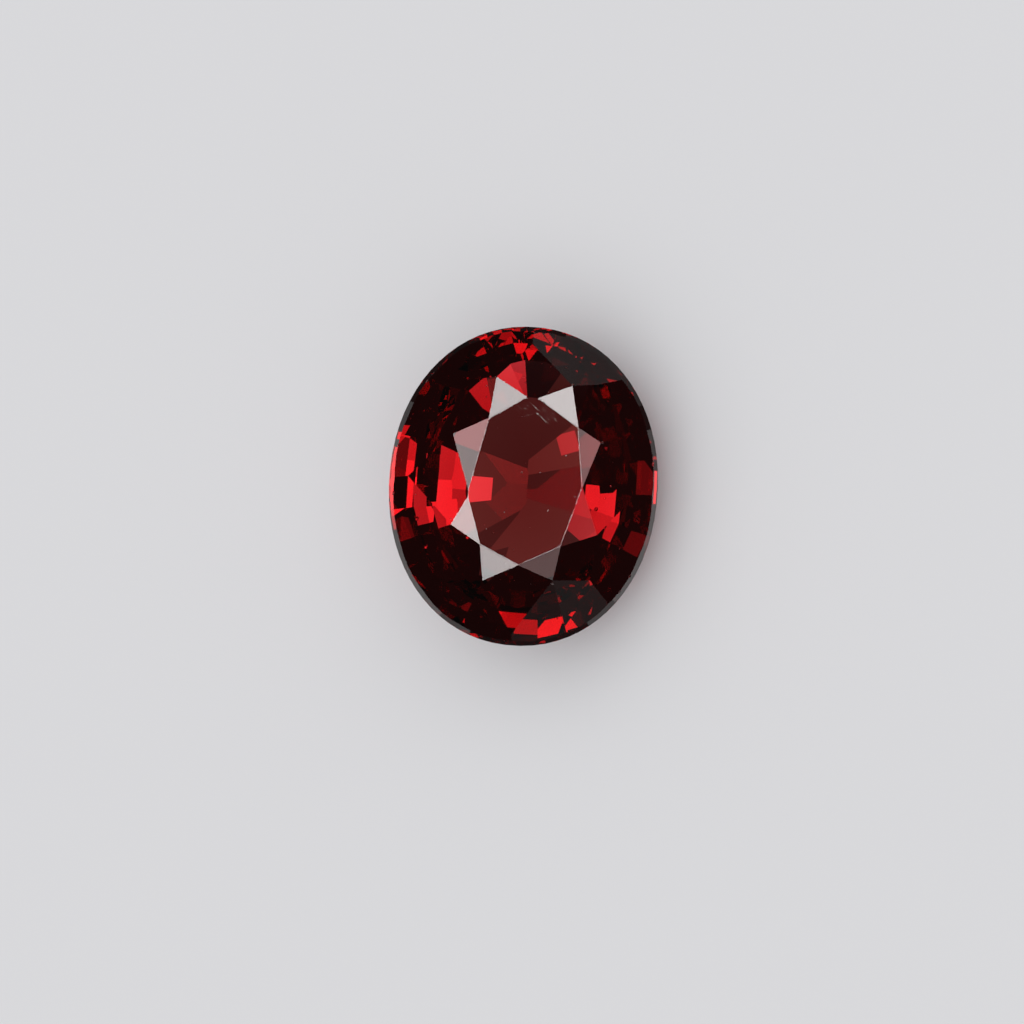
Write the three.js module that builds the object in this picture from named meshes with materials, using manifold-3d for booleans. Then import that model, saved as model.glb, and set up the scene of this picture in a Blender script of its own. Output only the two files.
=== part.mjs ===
// A cut garnet: an oval stone with a brilliant crown over a step-cut pavilion, lying on a long side facet.
//
// Millimetres. In the stone's own frame X runs across its width, Y along its length and Z out through
// the table, with Z = 0 at the top of the girdle. The finished part stands in a frame with +Z up and its
// origin on the surface that it lies on, under the middle of its box.

import * as THREE from "three";
import { mergeVertices } from "three/addons/utils/BufferGeometryUtils.js";
import Module from "manifold-3d";

// Outline
const WIDTH = 6.1;
const LENGTH = 7.25;
const OUTLINE_EXPONENT = 2.09; // 2 is an ellipse, and a little more fills its shoulders out

// Crown
const CROWN_HEIGHT = 1.1;
// The table's corners, clockwise from the one at 12 o'clock, as the hand-cut stone has them.
const TABLE_CORNERS = [
  [0.07, 2.07],
  [1.14, 1.39],
  [1.32, 0.06],
  [0.92, -1.3],
  [0.0, -1.78],
  [-0.89, -1.37],
  [-1.26, -0.25],
  [-0.88, 1.47],
];
// The outer tip of the star facet between each corner and the next, with its drop below the table.
const STAR_TIPS = [
  [0.95, 2.33, 0.23],
  [1.67, 1.1, 0.22],
  [1.73, -0.99, 0.24],
  [0.8, -2.08, 0.22],
  [-0.78, -2.19, 0.2],
  [-1.58, -0.97, 0.21],
  [-1.67, 1.07, 0.245],
  [-0.77, 2.42, 0.255],
];
// How far each main facet was cut into its table corner, which leaves a short edge there.
const MAIN_OVERCUT = [0.075, 0, 0, 0, 0, 0, 0.025, 0];

// Girdle
const GIRDLE_HEIGHT = 0.3;
const GIRDLE_LEAN = 0.1; // how far it leans in towards the crown
const GIRDLE_SIDES = 72;

// Pavilion: rows of facets from the girdle down. Each has its angles to the girdle plane at 3, 12, 9 and
// 6 o'clock, in degrees, and blends them in between. The last row runs on to the keel.
const PAVILION_INDEXES = 16;
const PAVILION_TURN = -1.5; // degrees anticlockwise of the outline, as the hand-cut stone has it
const PAVILION_ROWS = [
  { height: 0.3, right: 68.5, top: 59.5, left: 77.5, bottom: 49.5 },
  { height: 0.9, right: 44, top: 48.5, left: 41.5, bottom: 41 },
  { height: 0.35, right: 35, top: 40, left: 28.5, bottom: 30.5 },
  { height: Infinity, right: 24, top: 20, left: 24, bottom: 24 },
];

const COLOUR = 0x7a0d12;
const ROUGHNESS = 0.03;

const TURN = 2 * Math.PI;
const HALF_WIDTH = WIDTH / 2;
const HALF_LENGTH = LENGTH / 2;
const HEART = new THREE.Vector3(0, 0, -GIRDLE_HEIGHT); // a point inside the stone

const wasm = await Module();
wasm.setup();

// The direction, as an angle from +X, that the outline faces at a share of a turn round the stone.
function facing(share) {
  const turn = share * TURN;
  return Math.atan2(Math.sin(turn) / HALF_LENGTH, Math.cos(turn) / HALF_WIDTH);
}

// How far the outline reaches in a direction: the distance to the tangent line that faces it.
function reach(direction) {
  const dual = OUTLINE_EXPONENT / (OUTLINE_EXPONENT - 1);
  const across = Math.abs(HALF_WIDTH * Math.cos(direction)) ** dual;
  const along = Math.abs(HALF_LENGTH * Math.sin(direction)) ** dual;
  return (across + along) ** (1 / dual);
}

function pointAt(direction, distance, z) {
  return new THREE.Vector3(distance * Math.cos(direction), distance * Math.sin(direction), z);
}

// A facet is a plane that faces out of the stone.
function facetThrough(a, b, c) {
  const facet = new THREE.Plane().setFromCoplanarPoints(a, b, c);
  return facet.distanceToPoint(HEART) > 0 ? facet.negate() : facet;
}

// The facet that holds a point and the level line which faces a direction at a distance and height.
function facetToLine(point, direction, distance, z) {
  const start = pointAt(direction, distance, z);
  const along = pointAt(direction + TURN / 4, 1, 0);
  return facetThrough(point, start, start.clone().add(along));
}

// Each side of the girdle leans in towards the crown, and stands upright where it dips between two
// pavilion facets, so that the outline stays a smooth oval.
function girdleFacets() {
  const facets = [];
  for (let i = 0; i < GIRDLE_SIDES; i++) {
    const direction = facing(i / GIRDLE_SIDES);
    const distance = reach(direction);
    const top = pointAt(direction, distance - GIRDLE_LEAN, 0);
    facets.push(facetToLine(top, direction, distance, -GIRDLE_HEIGHT));
    facets.push(new THREE.Plane(pointAt(direction, 1, 0), -distance));
  }
  return facets;
}

function crownFacets() {
  const up = new THREE.Vector3(0, 0, 1);
  const facets = [new THREE.Plane(up, -CROWN_HEIGHT)];
  const corners = TABLE_CORNERS.map(([x, y]) => new THREE.Vector3(x, y, CROWN_HEIGHT));
  const tips = STAR_TIPS.map(([x, y, drop]) => new THREE.Vector3(x, y, CROWN_HEIGHT - drop));
  const count = corners.length;
  corners.forEach((corner, i) => {
    const before = tips[(i + count - 1) % count];
    const after = tips[i];
    const inward = new THREE.Vector3(-corner.x, -corner.y, 0).setLength(MAIN_OVERCUT[i]);
    const main = facetThrough(before, after, corner.clone().add(inward));
    const star = facetThrough(corner, corners[(i + 1) % count], after);
    facets.push(main, star);
    // Two upper girdle facets run from the star's tip, either side of halfway to the next main.
    for (const side of [-1, 1]) {
      const share = 1 / 4 - (i + 1 / 2 + side / 4) / count;
      const direction = facing(share);
      facets.push(facetToLine(after, direction, reach(direction) - GIRDLE_LEAN, 0));
    }
  });
  return facets;
}

// The angle of a pavilion row's facet to the girdle plane, at a turn round the stone from 3 o'clock.
function rowAngle(row, turn) {
  const sideways = Math.cos(turn) > 0 ? row.right : row.left;
  const endways = Math.sin(turn) > 0 ? row.top : row.bottom;
  return THREE.MathUtils.degToRad(THREE.MathUtils.lerp(sideways, endways, Math.sin(turn) ** 2));
}

function pavilionFacets() {
  const facets = [];
  for (let i = 0; i < PAVILION_INDEXES; i++) {
    const turn = (i / PAVILION_INDEXES) * TURN;
    const direction = turn + THREE.MathUtils.degToRad(PAVILION_TURN);
    let distance = reach(direction);
    let z = -GIRDLE_HEIGHT;
    for (const row of PAVILION_ROWS) {
      const angle = rowAngle(row, turn);
      const normal = pointAt(direction, Math.sin(angle), -Math.cos(angle));
      facets.push(new THREE.Plane().setFromNormalAndCoplanarPoint(normal, pointAt(direction, distance, z)));
      distance -= row.height / Math.tan(angle);
      z -= row.height;
    }
  }
  return facets;
}

// The rough: a block that every facet is cut from.
function roughBlock() {
  const side = 2 * LENGTH;
  const geometry = new THREE.BoxGeometry(side, side, side);
  geometry.deleteAttribute("normal");
  geometry.deleteAttribute("uv");
  const merged = mergeVertices(geometry);
  return new wasm.Manifold(
    new wasm.Mesh({
      numProp: 3,
      vertProperties: merged.attributes.position.array,
      triVerts: new Uint32Array(merged.index.array),
    }),
  );
}

function cutStone() {
  let stone = roughBlock();
  for (const facet of [...girdleFacets(), ...crownFacets(), ...pavilionFacets()]) {
    stone = stone.trimByPlane(facet.normal.clone().negate().toArray(), facet.constant);
  }
  const cut = stone.getMesh();
  const geometry = new THREE.BufferGeometry();
  geometry.setAttribute("position", new THREE.BufferAttribute(cut.vertProperties, cut.numProp));
  geometry.setIndex(new THREE.BufferAttribute(cut.triVerts, 1));
  return geometry;
}

const stone = new THREE.Mesh(
  cutStone(),
  new THREE.MeshStandardMaterial({ color: COLOUR, roughness: ROUGHNESS, metalness: 0, flatShading: true }),
);
stone.name = "garnet";
// The pavilion's length lies along the part's X, with its 3 o'clock side to the front.
stone.rotation.z = -TURN / 4 - THREE.MathUtils.degToRad(PAVILION_TURN);

// The stone leans until its lowest pavilion facet at 3 o'clock lies flat, with the table to the front.
const leaning = new THREE.Group();
leaning.rotation.x = rowAngle(PAVILION_ROWS.at(-1), 0);
leaning.add(stone);

const part = new THREE.Group();
part.add(leaning);
const box = new THREE.Box3().setFromObject(part, true);
const middle = box.getCenter(new THREE.Vector3());
leaning.position.set(-middle.x, -middle.y, -box.min.z);

export default part;
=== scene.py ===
import math

import bmesh
import bpy
from bpy.props import FloatProperty, PointerProperty, StringProperty
from mathutils import Euler, Matrix, Vector
from mathutils.bvhtree import BVHTree


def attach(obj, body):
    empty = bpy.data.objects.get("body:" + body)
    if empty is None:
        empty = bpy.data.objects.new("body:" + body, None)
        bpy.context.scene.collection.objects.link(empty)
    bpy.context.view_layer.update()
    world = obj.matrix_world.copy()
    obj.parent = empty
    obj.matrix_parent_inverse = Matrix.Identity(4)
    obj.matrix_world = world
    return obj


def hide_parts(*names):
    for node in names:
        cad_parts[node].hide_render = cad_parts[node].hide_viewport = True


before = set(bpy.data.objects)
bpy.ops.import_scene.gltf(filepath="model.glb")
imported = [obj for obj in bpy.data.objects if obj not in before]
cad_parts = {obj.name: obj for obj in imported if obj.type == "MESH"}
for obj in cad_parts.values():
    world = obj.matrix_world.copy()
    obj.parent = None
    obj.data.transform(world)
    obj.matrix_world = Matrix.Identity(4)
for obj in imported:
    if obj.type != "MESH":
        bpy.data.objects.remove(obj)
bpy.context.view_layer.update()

bl_info = {
    "name": "Cut garnet",
    "version": (1, 0, 0),
    "blender": (4, 5, 0),
    "location": "View3D > Sidebar > Garnet",
    "description": "Finishes an oval mixed-cut garnet and sets a small studio round it",
    "category": "Object",
}

MM = 0.001
CAD_NODE = "garnet"
BODY = "root"

# The photograph's frame, where the middle of the stone's outline stands in it, and how far the frame is
# turned anticlockwise from the solid's X axis and from the outline's own length.
PHOTO_SIDE_PX = 1024
PX_PER_MM = 44.0
OUTLINE_CENTRE_PX = (523.4, 486.3)
PHOTO_TURN = math.radians(5.4)
OUTLINE_TURN = math.radians(3.9)

# Joining the triangles of the solid into whole facets.
MERGE_DISTANCE = 0.0005 * MM
FLAT_ANGLE = math.radians(0.3)
STAR_COUNT = 8

# Chips, as pixels across and down the photograph: nicks in the girdle, at a height over the stone's widest
# line, and worn tips of star facets. Each is cut by a flattened ball that sinks in by a share of its radius.
RIM_NICKS_PX = ((428, 382), (434, 376), (652, 464), (615, 587), (627, 574), (398, 445), (397, 493))
WORN_TIPS_PX = ((572, 386), (602, 443), (552, 583))
RIM_NICK_HEIGHT = 0.27 * MM
CHIP_SHAPE = Vector((1.0, 0.7, 0.85))
CHIP_SINK = 0.35
# The faces inside a chip are smaller than this share of its radius squared.
CHIP_FACE_SHARE = 0.1

# Fine scratches on the table: the middle of their patch in the photograph, its turn, and its reach along,
# across and into the stone. A scratch is the crest of a wave, and noise breaks it off.
SCRATCH_PATCH_PX = (540, 415)
SCRATCH_PATCH_TURN = math.radians(-17)
SCRATCH_PATCH_MM = (0.75, 0.28, 0.06)
SCRATCH_PATCH_CORE = 0.5
SCRATCH_TURN = math.radians(-42)
SCRATCH_CREST = (0.8, 0.95)
SCRATCH_BREAK = (0.42, 0.55)
SCRATCH_WANDER = 0.5
SCRATCH_STRENGTH = 0.45
# The scale at which one wave of a wave texture is one unit long.
WAVE_UNIT = math.tau / 20

# Pinpoint pits: the size of the cells that they are scattered in, their rim and floor as shares of that,
# and the share of cells that stay clean.
PIT_CELL = 0.2 * MM
PIT_RIM = 0.09
PIT_FLOOR = 0.04
CLEAN_SHARE = 0.9

# The finish of scratches, pits and chips, where the polish is gone.
WORN_ROUGHNESS = 0.55
MARK_DEPTH = 0.004 * MM
MARK_BUMP = 0.4

# The share of light that a polished garnet facet mirrors back to an eye close to its normal.
FACET_MIRROR = 0.076

# How bright each star facet's mirrored lamp looks, clockwise from 1 o'clock, and the worn edges inside them.
STAR_SHINE = (0.52, 0.1, 0.003, 0.06, 0.37, 0.46, 0.2, 0.44)
STAR_LAMP_ANGLE = math.radians(12)
EDGE_SHINE = 0.6
EDGE_LAMP_ANGLE = math.radians(9)

# Facets with a faint sheen, by a pixel of the photograph inside each, and how bright the sheen looks.
SHEEN_FACETS = (((605, 370), 0.013), ((575, 350), 0.014), ((537, 631), 0.006), ((585, 609), 0.009))
SHEEN_LAMP_ANGLE = math.radians(6)

# Soft boxes that light the stone inside: from and to degrees off the table's normal, from and to degrees
# anticlockwise from 3 o'clock, and radiance. A name says where a box stands, and one with rim or dull in it
# says where the glow or the dull red that it lights shows.
INNER_BOXES = {
    "right": (20, 95, 0, 30, 1.2),
    "right_low": (80, 100, 350, 380, 1.4),
    "right_strip": (40, 60, 350, 360, 2.0),
    "right_high": (20, 40, 340, 394, 1.7),
    "right_upper": (58, 72, 16, 30, 1.3),
    "left": (40, 100, 160, 180, 2.2),
    "left_upper": (80, 95, 145, 160, 1.5),
    "front": (74, 83, 276, 300, 1.3),
    "front_middle": (32, 40, 262, 280, 2.4),
    "front_high": (10, 30, 220, 280, 1.5),
    "rim_left": (34, 46, 340, 400, 1.5),
    "rim_right": (14, 20, 174, 212, 3.5),
    "dull_right": (21, 27, 180, 190, 0.25),
    "dull_right_low": (28, 36, 117, 131, 0.25),
    "dull_left": (4, 14, 190, 226, 0.3),
    "dull_top": (48, 55, 246, 260, 1.0),
}
# The same for red light from behind, for the light that comes up through the stone, and for the grey that
# its girdle mirrors.
RED_BOXES = {
    "behind_right": (128, 146, 328, 354, 0.3),
    "behind_left": (126, 138, 145, 178, 0.6),
    "below_left": (116, 136, 178, 204, 0.3),
    "below_front": (104, 130, 278, 312, 1.0),
}
UNDER_BOXES = {
    "under_right": (148, 166, 350, 390, 0.08),
    "under_left": (148, 166, 190, 212, 0.12),
    "under_back": (148, 166, 60, 170, 0.09),
}
GIRDLE_BOXES = {
    "girdle_right": (133, 153, 308, 378, 0.18),
    "girdle_right_middle": (133, 153, 322, 366, 0.17),
    "girdle_left": (133, 153, 160, 246, 0.18),
    "girdle_left_middle": (133, 153, 172, 232, 0.17),
    "girdle_back": (133, 153, 30, 75, 0.06),
}

# Bright patches that show through the table, by their middle pixel in the photograph, size and radiance.
TABLE_PATCHES = (((477, 492), (0.9 * MM, 0.75 * MM), 1.2), ((568, 443), (0.6 * MM, 0.5 * MM), 0.55))
PATCH_DISTANCE = 40 * MM

# The wide lamps over the floor, at a number of lamp distances, and under the stone, and the dim surround
# that the stone mirrors and lets through.
CEILING_RISE = 2.5
CEILING_ANGLE = math.radians(100)
CEILING_RADIANCE = 0.65
UNDER_ANGLE = math.radians(116)
UNDER_RADIANCE = 0.075
DIM_RADIANCE = 0.02

# A lamp is on the table's normal when the sine of its angle off it is less than this.
ON_NORMAL = 0.01

# How near and far the camera sees, and how often light may turn inside the stone.
CLIP_START = 1 * MM
CLIP_END = 10.0
BOUNCES = 16


class GarnetStone(bpy.types.PropertyGroup):
    """Colour, polish and wear of the cut stone."""

    absorption_colour: StringProperty(
        name="Absorption colour",
        description="sRGB hex value of what the stone lets through",
        default="#F1959F",
    )
    absorption_per_mm: FloatProperty(
        name="Absorption per mm",
        description="How fast the stone takes up the light that its colour lacks",
        default=1.0,
        min=0.0,
    )
    ior: FloatProperty(
        name="IOR",
        description="Refractive index of a red garnet between pyrope and almandine",
        default=1.76,
        min=1.0,
    )
    edge_wear: FloatProperty(
        name="Edge wear",
        description="Width of the worn line along the table's edges",
        default=0.016 * MM,
        unit="LENGTH",
    )
    nick_size: FloatProperty(
        name="Nick size",
        description="Radius of a nick in the girdle",
        default=0.09 * MM,
        unit="LENGTH",
    )
    tip_size: FloatProperty(
        name="Tip size",
        description="Radius of a worn star tip",
        default=0.06 * MM,
        unit="LENGTH",
    )
    scratch_length: FloatProperty(
        name="Scratch length",
        description="Usual length of the fine scratches on the table",
        default=0.16 * MM,
        unit="LENGTH",
    )
    scratch_gap: FloatProperty(
        name="Scratch gap",
        description="From one fine scratch on the table to the next",
        default=0.08 * MM,
        unit="LENGTH",
    )


class GarnetStudio(bpy.types.PropertyGroup):
    """The floor, lamps, surround and camera."""

    floor_colour: StringProperty(
        name="Floor colour",
        description="sRGB hex value of the matte floor",
        default="#DCDCDE",
    )
    floor_width: FloatProperty(
        name="Floor width",
        description="Side of the square floor",
        default=0.6,
        unit="LENGTH",
    )
    surround_colour: StringProperty(
        name="Surround colour",
        description="sRGB hex value of the pale surround",
        default="#C4C4C5",
    )
    camera_distance: FloatProperty(
        name="Camera distance",
        description="From the camera to the stone's girdle, along the table's normal",
        default=0.15,
        unit="LENGTH",
    )
    lamp_distance: FloatProperty(
        name="Lamp distance",
        description="From the stone to each small lamp",
        default=0.3,
        unit="LENGTH",
    )
    lamp_colour: StringProperty(
        name="Lamp colour",
        description="sRGB hex value of the plain lamps",
        default="#FFFFFF",
    )
    under_colour: StringProperty(
        name="Under colour",
        description="sRGB hex value of the light that comes up through the stone",
        default="#FFE7C7",
    )
    red_colour: StringProperty(
        name="Red colour",
        description="sRGB hex value of the light that the stone's own red has gone through before",
        default="#FF7A84",
    )


def linear_colour(hex_value):
    """Linear RGBA of an sRGB hex value."""
    channels = [int(hex_value[i:i + 2], 16) / 255 for i in (1, 3, 5)]
    linear = [c / 12.92 if c <= 0.04045 else ((c + 0.055) / 1.055) ** 2.4 for c in channels]
    return (*linear, 1.0)


def add_node(tree, kind, settings=None, inputs=None):
    """Adds a node with its settings, and its sockets' values or links."""
    node = tree.nodes.new(kind)
    for name, value in (settings or {}).items():
        setattr(node, name, value)
    for socket, value in (inputs or {}).items():
        if isinstance(value, bpy.types.NodeSocket):
            tree.links.new(value, node.inputs[socket])
        else:
            node.inputs[socket].default_value = value
    return node


def new_material(name):
    """An empty node material and its tree."""
    material = bpy.data.materials.new(name)
    material.use_nodes = True
    material.node_tree.nodes.clear()
    return material, material.node_tree


def add_object(name, data):
    """A new object at the origin, linked to the scene."""
    thing = bpy.data.objects.new(name, data)
    bpy.context.scene.collection.objects.link(thing)
    return thing


def new_mesh(name, bm):
    """A mesh made from a bmesh, which is freed."""
    mesh = bpy.data.meshes.new(name)
    bm.to_mesh(mesh)
    bm.free()
    return mesh


def whole_facets():
    """A bmesh of the solid, with the triangles of each flat facet joined into one face."""
    bm = bmesh.new()
    bm.from_mesh(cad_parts[CAD_NODE].data)
    bmesh.ops.remove_doubles(bm, verts=bm.verts, dist=MERGE_DISTANCE)
    bmesh.ops.dissolve_limit(bm, angle_limit=FLAT_ANGLE, verts=bm.verts, edges=bm.edges)
    for face in bm.faces:
        face.smooth = False
    bm.normal_update()
    return bm


def table_of(bm):
    """The stone's largest facet, its table."""
    return max(bm.faces, key=lambda face: face.calc_area())


def refracted(direction, normal, ratio):
    """A direction that goes on through a surface, bent by the ratio of the refractive indexes."""
    forward = direction.dot(normal)
    sideways = ratio * (direction - normal * forward)
    return sideways + normal * math.copysign(math.sqrt(1 - sideways.length_squared), forward)


class Facets:
    """The stone's own directions and facets, measured on the solid."""

    def __init__(self):
        bm = whole_facets()
        table = table_of(bm)
        self.out = table.normal.copy()
        lengthways = (Vector((1, 0, 0)) - self.out * self.out.x).normalized()
        self.up = Matrix.Rotation(PHOTO_TURN, 3, self.out) @ lengthways
        self.right = self.up.cross(self.out)
        self.turn = Matrix((self.right, self.up, self.out)).transposed()
        across = [vert.co.dot(self.right) for vert in bm.verts]
        along = [vert.co.dot(self.up) for vert in bm.verts]
        rim = max(bm.verts, key=lambda vert: abs(vert.co.dot(self.up)))
        self.middle = (
            self.right * (max(across) + min(across)) / 2
            + self.up * (max(along) + min(along)) / 2
            + self.out * rim.co.dot(self.out)
        )
        self.width = max(across) - min(across)
        self.table_height = (table.verts[0].co - self.middle).dot(self.out)
        self.stars = self.star_normals(table)
        self.tree = BVHTree.FromBMesh(bm)
        bm.free()

    def star_normals(self, table):
        """Normals of the star facets round the table, clockwise from 12 o'clock."""
        sides = sorted(table.edges, key=lambda edge: edge.calc_length())[-STAR_COUNT:]
        centre = table.calc_center_median()
        stars = []
        for edge in sides:
            star = next(face for face in edge.link_faces if face is not table)
            offset = (edge.verts[0].co + edge.verts[1].co) / 2 - centre
            clock = math.atan2(offset.dot(self.right), offset.dot(self.up)) % math.tau
            stars.append((clock, star.normal.copy()))
        return [normal for clock, normal in sorted(stars, key=lambda star: star[0])]

    def offset(self, pixel):
        """Where a pixel of the photograph lies from the outline's middle, in the girdle's plane."""
        across = (pixel[0] - OUTLINE_CENTRE_PX[0]) / PX_PER_MM * MM
        along = (OUTLINE_CENTRE_PX[1] - pixel[1]) / PX_PER_MM * MM
        return self.right * across + self.up * along

    def crown_at(self, pixel):
        """The point and normal of the crown under a pixel of the photograph."""
        start = self.middle + self.offset(pixel) + self.out * self.width
        point, normal, _, _ = self.tree.ray_cast(start, -self.out)
        return point, normal

    def rim_at(self, pixel):
        """The point and normal of the girdle's upper edge nearest to a pixel of the photograph."""
        sideways = self.offset(pixel).normalized()
        start = self.middle + self.out * RIM_NICK_HEIGHT + sideways * self.width
        point, normal, _, _ = self.tree.ray_cast(start, -sideways)
        return point, (normal + self.out).normalized()

    def direction(self, off_axis, turn):
        """A direction by its angle off the table's normal and its turn anticlockwise from 3 o'clock."""
        sideways = self.right * math.cos(turn) + self.up * math.sin(turn)
        return self.out * math.cos(off_axis) + sideways * math.sin(off_axis)

    def seen_through(self, pixel, eye, ior):
        """The point and direction in which an eye's view into a pixel leaves the back of the stone."""
        view = (self.middle + self.offset(pixel) - eye).normalized()
        point, normal, _, _ = self.tree.ray_cast(eye, view)
        inside = refracted(view, normal, 1 / ior)
        point, normal, _, _ = self.tree.ray_cast(point + inside * MERGE_DISTANCE, inside)
        return point, refracted(inside, normal, ior)

    def mirrored(self, normal):
        """What a facet shows to the camera: the view direction, mirrored in the facet."""
        return 2 * normal.dot(self.out) * normal - self.out


FACETS = Facets()


def scratch_mask(tree, on_table, settings):
    """Fine scratches side by side, in a patch of the table that fades out."""
    along = add_node(tree, "ShaderNodeMapping", {"vector_type": "TEXTURE"}, {
        "Vector": on_table,
        "Rotation": (0.0, 0.0, SCRATCH_TURN),
        "Scale": (settings.scratch_length / MM, settings.scratch_gap / MM, 1.0),
    })
    waves = add_node(tree, "ShaderNodeTexWave", {"bands_direction": "Y"}, {
        "Vector": along.outputs[0],
        "Scale": WAVE_UNIT,
        "Distortion": SCRATCH_WANDER,
        "Detail": 1.0,
        "Detail Scale": 0.5,
    })
    noise = add_node(tree, "ShaderNodeTexNoise", inputs={
        "Vector": along.outputs[0],
        "Scale": 1.0,
        "Detail": 0.0,
    })
    crests = add_node(tree, "ShaderNodeMapRange", inputs={
        "Value": waves.outputs["Fac"],
        "From Min": SCRATCH_CREST[0],
        "From Max": SCRATCH_CREST[1],
        "To Max": SCRATCH_STRENGTH,
    })
    breaks = add_node(tree, "ShaderNodeMapRange", inputs={
        "Value": noise.outputs["Fac"],
        "From Min": SCRATCH_BREAK[0],
        "From Max": SCRATCH_BREAK[1],
    })
    lines = add_node(tree, "ShaderNodeMath", {"operation": "MULTIPLY"}, {
        0: crests.outputs[0],
        1: breaks.outputs[0],
    })
    patch = add_node(tree, "ShaderNodeMapping", {"vector_type": "TEXTURE"}, {
        "Vector": on_table,
        "Rotation": (0.0, 0.0, SCRATCH_PATCH_TURN),
        "Scale": SCRATCH_PATCH_MM,
    })
    ball = add_node(tree, "ShaderNodeTexGradient", {"gradient_type": "SPHERICAL"}, {
        "Vector": patch.outputs[0],
    })
    fade = add_node(tree, "ShaderNodeMapRange", inputs={
        "Value": ball.outputs["Fac"],
        "From Max": SCRATCH_PATCH_CORE,
    })
    scratches = add_node(tree, "ShaderNodeMath", {"operation": "MULTIPLY", "use_clamp": True}, {
        0: lines.outputs[0],
        1: fade.outputs[0],
    })
    return scratches.outputs[0]


def pit_mask(tree, on_table):
    """Pinpoint pits, in a few of the cells that fill the stone."""
    cells = add_node(tree, "ShaderNodeTexVoronoi", inputs={"Vector": on_table, "Scale": MM / PIT_CELL})
    dots = add_node(tree, "ShaderNodeMapRange", inputs={
        "Value": cells.outputs["Distance"],
        "From Min": PIT_RIM,
        "From Max": PIT_FLOOR,
    })
    chance = add_node(tree, "ShaderNodeSeparateColor", inputs={0: cells.outputs["Color"]})
    few = add_node(tree, "ShaderNodeMath", {"operation": "GREATER_THAN"}, {
        0: chance.outputs[0],
        1: CLEAN_SHARE,
    })
    pits = add_node(tree, "ShaderNodeMath", {"operation": "MULTIPLY"}, {
        0: dots.outputs[0],
        1: few.outputs[0],
    })
    return pits.outputs[0]


def garnet_material(settings):
    """Red garnet, cut and polished: clear, mirror-smooth facets over a deep red body, a little worn."""
    material, tree = new_material("polished red garnet")
    # Millimetres in the table's plane, from the middle of the scratches.
    place = add_node(tree, "ShaderNodeTexCoord")
    patch = FACETS.middle + FACETS.offset(SCRATCH_PATCH_PX) + FACETS.out * FACETS.table_height
    on_table = add_node(tree, "ShaderNodeMapping", {"vector_type": "TEXTURE"}, {
        "Vector": place.outputs["Object"],
        "Location": patch,
        "Rotation": FACETS.turn.to_euler(),
        "Scale": (MM, MM, MM),
    })
    # Scratches, pits and the chips' faces have lost their polish, and the first two are also bumps.
    marks = add_node(tree, "ShaderNodeMath", {"operation": "MAXIMUM"}, {
        0: scratch_mask(tree, on_table.outputs[0], settings),
        1: pit_mask(tree, on_table.outputs[0]),
    })
    broken = add_node(tree, "ShaderNodeAttribute", {"attribute_name": "broken"})
    worn = add_node(tree, "ShaderNodeMath", {"operation": "MAXIMUM"}, {
        0: marks.outputs[0],
        1: broken.outputs["Fac"],
    })
    roughness = add_node(tree, "ShaderNodeMath", {"operation": "MULTIPLY"}, {
        0: worn.outputs[0],
        1: WORN_ROUGHNESS,
    })
    bump = add_node(tree, "ShaderNodeBump", {"invert": True}, {
        "Strength": MARK_BUMP,
        "Distance": MARK_DEPTH,
        "Height": marks.outputs[0],
    })
    surface = add_node(tree, "ShaderNodeBsdfPrincipled", inputs={
        "Base Color": (1.0, 1.0, 1.0, 1.0),
        "Roughness": roughness.outputs[0],
        "IOR": settings.ior,
        "Transmission Weight": 1.0,
        "Normal": bump.outputs[0],
    })
    body = add_node(tree, "ShaderNodeVolumeAbsorption", inputs={
        "Color": linear_colour(settings.absorption_colour),
        "Density": settings.absorption_per_mm / MM,
    })
    add_node(tree, "ShaderNodeOutputMaterial", inputs={
        "Surface": surface.outputs["BSDF"],
        "Volume": body.outputs["Volume"],
    })
    return material


def wear_table_edges(bm, width):
    """Rounds the table's edges off by the width of their wear."""
    bmesh.ops.bevel(
        bm,
        geom=list(table_of(bm).edges),
        offset=width / 2,
        segments=2,
        profile=0.5,
        affect="EDGES",
        material=-1,
    )


def chip_stone(stone, settings):
    """Breaks small shell-shaped chips out of the girdle and the worn star tips."""
    chips = [(*FACETS.rim_at(pixel), settings.nick_size) for pixel in RIM_NICKS_PX]
    chips += [(*FACETS.crown_at(pixel), settings.tip_size) for pixel in WORN_TIPS_PX]
    bm = bmesh.new()
    for number, (point, normal, radius) in enumerate(chips):
        centre = point + normal * radius * (1 - CHIP_SINK)
        # Each ball is turned by its number, so that no two chips are alike.
        turn = Euler((number, 2 * number, 3 * number))
        placed = Matrix.LocRotScale(centre, turn, CHIP_SHAPE * radius)
        bmesh.ops.create_icosphere(bm, subdivisions=2, radius=1.0, matrix=placed)
    cutter = add_object("chips", new_mesh("chips", bm))
    cut = stone.modifiers.new("chips", "BOOLEAN")
    cut.operation = "DIFFERENCE"
    cut.solver = "EXACT"
    cut.object = cutter
    chipped = stone.evaluated_get(bpy.context.evaluated_depsgraph_get())
    stone.data = bpy.data.meshes.new_from_object(chipped)
    stone.modifiers.clear()
    bpy.data.objects.remove(cutter)
    broken = stone.data.attributes.new("broken", "FLOAT", "FACE")
    for face in stone.data.polygons:
        broken.data[face.index].value = any(
            face.area < CHIP_FACE_SHARE * radius ** 2 and (face.center - point).length < radius
            for point, _, radius in chips
        )


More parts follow.
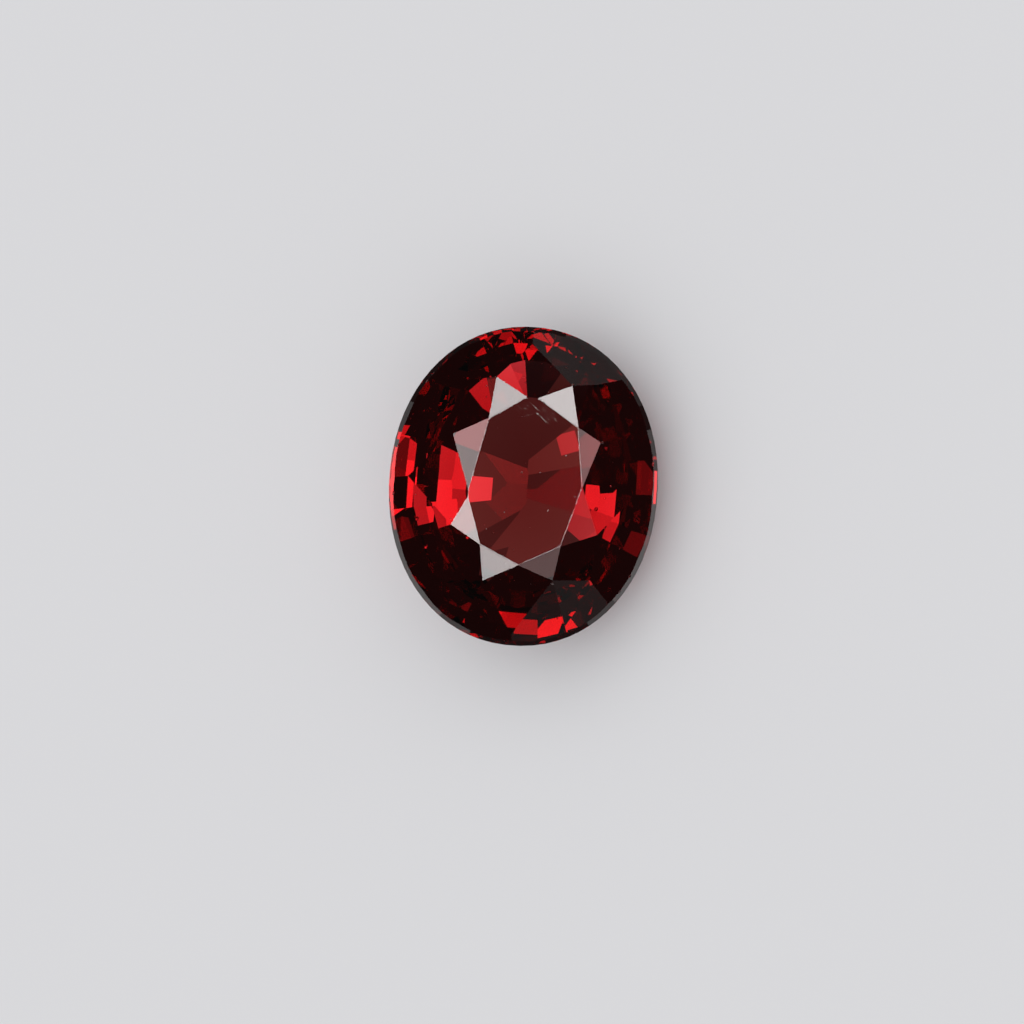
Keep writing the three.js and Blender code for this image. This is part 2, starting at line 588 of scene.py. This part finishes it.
class GARNET_OT_stone(bpy.types.Operator):
    """Finish the cut stone in place of its solid"""

    bl_idname = "garnet.stone"
    bl_label = "Cut stone"

    def execute(self, context):
        settings = context.scene.garnet_stone
        bm = whole_facets()
        wear_table_edges(bm, settings.edge_wear)
        mesh = new_mesh("cut_garnet", bm)
        mesh.materials.append(garnet_material(settings))
        stone = add_object("cut_garnet", mesh)
        chip_stone(stone, settings)
        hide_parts(CAD_NODE)
        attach(stone, BODY)
        return {"FINISHED"}


def floor_material(hex_value):
    """Matte card: pale, even and without gloss."""
    material, tree = new_material("matte card")
    surface = add_node(tree, "ShaderNodeBsdfPrincipled", inputs={
        "Base Color": linear_colour(hex_value),
        "Roughness": 1.0,
        "Specular IOR Level": 0.0,
    })
    add_node(tree, "ShaderNodeOutputMaterial", inputs={"Surface": surface.outputs["BSDF"]})
    return material


def add_floor(settings):
    """The floor that the stone lies on, which its facets neither mirror nor let through."""
    bm = bmesh.new()
    bmesh.ops.create_grid(bm, x_segments=1, y_segments=1, size=settings.floor_width / 2)
    mesh = new_mesh("floor", bm)
    mesh.materials.append(floor_material(settings.floor_colour))
    floor = add_object("floor", mesh)
    floor.visible_glossy = False
    floor.visible_transmission = False


def add_lamp(name, direction, distance, angles, radiance, colour, seen_by, target=FACETS.middle):
    """A soft lamp that faces a target, as wide and high as its angles, for the rays that it is seen by."""
    width, height = (2 * distance * math.tan(angle / 2) for angle in angles)
    light = bpy.data.lights.new(name, "AREA")
    light.shape = "RECTANGLE"
    light.size = width
    light.size_y = height
    # An area lamp spends pi watts on each square metre and unit of radiance.
    light.energy = radiance * width * height * math.pi
    light.color = colour[:3]
    lamp = add_object(name, light)
    level = FACETS.out.cross(direction)
    level = level.normalized() if level.length > ON_NORMAL else FACETS.right
    turn = Matrix((level, direction.cross(level), direction)).transposed()
    lamp.matrix_world = Matrix.Translation(target + direction * distance) @ turn.to_4x4()
    lamp.visible_camera = False
    lamp.visible_diffuse = "floor" in seen_by
    lamp.visible_glossy = "mirror" in seen_by
    lamp.visible_transmission = "inside" in seen_by


def add_mirrored_lamp(name, normal, distance, angle, shine, colour):
    """A lamp that a facet with this normal mirrors to the camera, where it looks as bright as its shine."""
    direction = FACETS.mirrored(normal)
    add_lamp(name, direction, distance, (angle, angle), shine / FACET_MIRROR, colour, ("mirror",))


def add_boxes(boxes, distance, colour, seen_by):
    """Soft boxes by their angles round the stone."""
    for name, (*angles, radiance) in boxes.items():
        near, far, start, end = (math.radians(angle) for angle in angles)
        middle = (near + far) / 2
        direction = FACETS.direction(middle, (start + end) / 2 - OUTLINE_TURN)
        size = ((end - start) * math.sin(middle), far - near)
        add_lamp(name, direction, distance, size, radiance, colour, seen_by)


def eye_point(settings):
    """Where the camera stands: over the middle of the photograph, along the table's normal."""
    aim = FACETS.middle + FACETS.offset((PHOTO_SIDE_PX / 2, PHOTO_SIDE_PX / 2))
    return aim + FACETS.out * settings.camera_distance


def add_lamps(settings, ior):
    """A lamp for the floor, lamps for the facets to mirror, and soft boxes that light the stone inside."""
    distance = settings.lamp_distance
    white = linear_colour(settings.lamp_colour)
    warm = linear_colour(settings.under_colour)
    red = linear_colour(settings.red_colour)
    rise = CEILING_RISE * distance
    wide = (CEILING_ANGLE, CEILING_ANGLE)
    add_lamp("ceiling", Vector((0, 0, 1)), rise, wide, CEILING_RADIANCE, white, ("floor",))
    for number, (normal, shine) in enumerate(zip(FACETS.stars, STAR_SHINE)):
        edge = (normal + FACETS.out).normalized()
        add_mirrored_lamp(f"star_{number}", normal, distance, STAR_LAMP_ANGLE, shine, white)
        add_mirrored_lamp(f"edge_{number}", edge, distance, EDGE_LAMP_ANGLE, EDGE_SHINE, white)
    for number, (pixel, shine) in enumerate(SHEEN_FACETS):
        _, normal = FACETS.crown_at(pixel)
        add_mirrored_lamp(f"sheen_{number}", normal, distance, SHEEN_LAMP_ANGLE, shine, white)
    below = (UNDER_ANGLE, UNDER_ANGLE)
    add_lamp("under", -FACETS.out, distance, below, UNDER_RADIANCE, warm, ("inside",))
    for number, (pixel, size, radiance) in enumerate(TABLE_PATCHES):
        point, direction = FACETS.seen_through(pixel, eye_point(settings), ior)
        angles = tuple(2 * math.atan(side / 2 / PATCH_DISTANCE) for side in size)
        add_lamp(f"patch_{number}", direction, PATCH_DISTANCE, angles, radiance, red, ("inside",), point)
    add_boxes(INNER_BOXES, distance, white, ("inside",))
    add_boxes(RED_BOXES, distance, red, ("inside",))
    add_boxes(UNDER_BOXES, distance, warm, ("inside",))
    add_boxes(GIRDLE_BOXES, distance, white, ("mirror",))


def add_world(settings):
    """A pale, even surround, and a dim one for the stone to mirror and let through."""
    world = bpy.data.worlds.new("studio")
    world.use_nodes = True
    tree = world.node_tree
    tree.nodes.clear()
    ray = add_node(tree, "ShaderNodeLightPath")
    pale = add_node(tree, "ShaderNodeBackground", inputs={"Color": linear_colour(settings.surround_colour)})
    dim = add_node(tree, "ShaderNodeBackground", inputs={
        "Color": linear_colour(settings.lamp_colour),
        "Strength": DIM_RADIANCE,
    })
    from_stone = add_node(tree, "ShaderNodeMath", {"operation": "MAXIMUM"}, {
        0: ray.outputs["Is Transmission Ray"],
        1: ray.outputs["Is Glossy Ray"],
    })
    mixed = add_node(tree, "ShaderNodeMixShader", inputs={
        0: from_stone.outputs[0],
        1: pale.outputs[0],
        2: dim.outputs[0],
    })
    add_node(tree, "ShaderNodeOutputWorld", inputs={"Surface": mixed.outputs[0]})
    bpy.context.scene.world = world


def add_camera(settings):
    """The photograph's view: straight down on the table, with the stone where the photograph has it."""
    camera = bpy.data.cameras.new("camera")
    frame_width = PHOTO_SIDE_PX / PX_PER_MM * MM
    camera.lens = camera.sensor_width * settings.camera_distance / frame_width
    camera.clip_start = CLIP_START
    camera.clip_end = CLIP_END
    eye = add_object("camera", camera)
    eye.matrix_world = Matrix.Translation(eye_point(settings)) @ FACETS.turn.to_4x4()
    bpy.context.scene.camera = eye


class GARNET_OT_studio(bpy.types.Operator):
    """Set the floor, lamps, surround and camera"""

    bl_idname = "garnet.studio"
    bl_label = "Studio"

    def execute(self, context):
        scene = context.scene
        settings = scene.garnet_studio
        add_floor(settings)
        add_lamps(settings, scene.garnet_stone.ior)
        add_world(settings)
        add_camera(settings)
        scene.view_settings.view_transform = "Standard"
        scene.cycles.max_bounces = BOUNCES
        scene.cycles.transmission_bounces = BOUNCES
        scene.cycles.glossy_bounces = BOUNCES
        return {"FINISHED"}


class GARNET_PT_sidebar(bpy.types.Panel):
    """The cut stone and its studio, in the sidebar"""

    bl_idname = "GARNET_PT_sidebar"
    bl_label = "Garnet"
    bl_space_type = "VIEW_3D"
    bl_region_type = "UI"
    bl_category = "Garnet"

    def draw(self, context):
        for operator, settings in (
            (GARNET_OT_stone, context.scene.garnet_stone),
            (GARNET_OT_studio, context.scene.garnet_studio),
        ):
            box = self.layout.box()
            box.operator(operator.bl_idname)
            for name in settings.__annotations__:
                box.prop(settings, name)


CLASSES = (GarnetStone, GarnetStudio, GARNET_OT_stone, GARNET_OT_studio, GARNET_PT_sidebar)


def register():
    for item in CLASSES:
        bpy.utils.register_class(item)
    bpy.types.Scene.garnet_stone = PointerProperty(type=GarnetStone)
    bpy.types.Scene.garnet_studio = PointerProperty(type=GarnetStudio)


def unregister():
    del bpy.types.Scene.garnet_studio
    del bpy.types.Scene.garnet_stone
    for item in reversed(CLASSES):
        bpy.utils.unregister_class(item)


def main():
    register()
    bpy.ops.garnet.stone()
    bpy.ops.garnet.studio()


if __name__ == "__main__":
    main()
